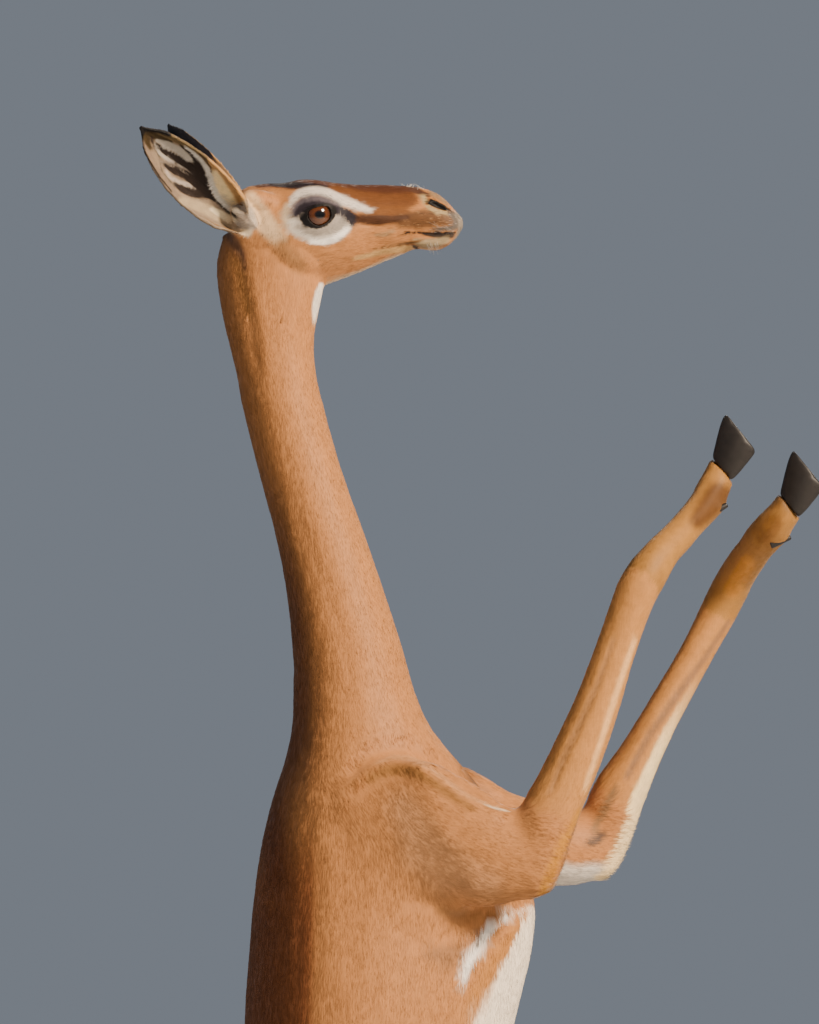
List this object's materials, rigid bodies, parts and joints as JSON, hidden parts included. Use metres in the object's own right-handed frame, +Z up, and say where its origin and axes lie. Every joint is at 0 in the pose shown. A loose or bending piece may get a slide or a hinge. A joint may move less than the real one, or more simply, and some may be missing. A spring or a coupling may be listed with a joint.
{
  "type": "gerenuk figure",
  "caption": "Life-size hornless female gerenuk reared upright on her hind legs, neck raised, forelegs held up, on a flat base.",
  "frame": {"origin": "middle of the underside of the base", "axes": "+Z up, +X the way the animal faces, +Y its left side"},
  "size_m": [0.7389, 0.46, 2.0694],
  "materials": {
    "coat": "short sleek hair",
    "horn": "dark hoof horn",
    "eye": "polished eye",
    "base": "dark stained wood, satin"
  },
  "bodies": {
    "root": {"belly": "coat", "chest": "coat", "head": "coat", "hips": "coat", "left_ear": "coat", "left_eye": "eye", "left_fore_cannon": "coat", "left_fore_inner_claw": "horn", "left_fore_outer_claw": "horn", "left_fore_pastern": "coat", "left_forearm": "coat", "left_hind_cannon": "coat", "left_hind_inner_claw": "horn", "left_hind_outer_claw": "horn", "left_hind_pastern": "coat", "left_shank": "coat", "left_thigh": "coat", "left_upper_arm": "coat", "neck": "coat", "right_ear": "coat", "right_eye": "eye", "right_fore_cannon": "coat", "right_fore_inner_claw": "horn", "right_fore_outer_claw": "horn", "right_fore_pastern": "coat", "right_forearm": "coat", "right_hind_cannon": "coat", "right_hind_inner_claw": "horn", "right_hind_outer_claw": "horn", "right_hind_pastern": "coat", "right_shank": "coat", "right_thigh": "coat", "right_upper_arm": "coat", "stand_base": "base", "tail": "coat"}
  },
  "joints": []
}
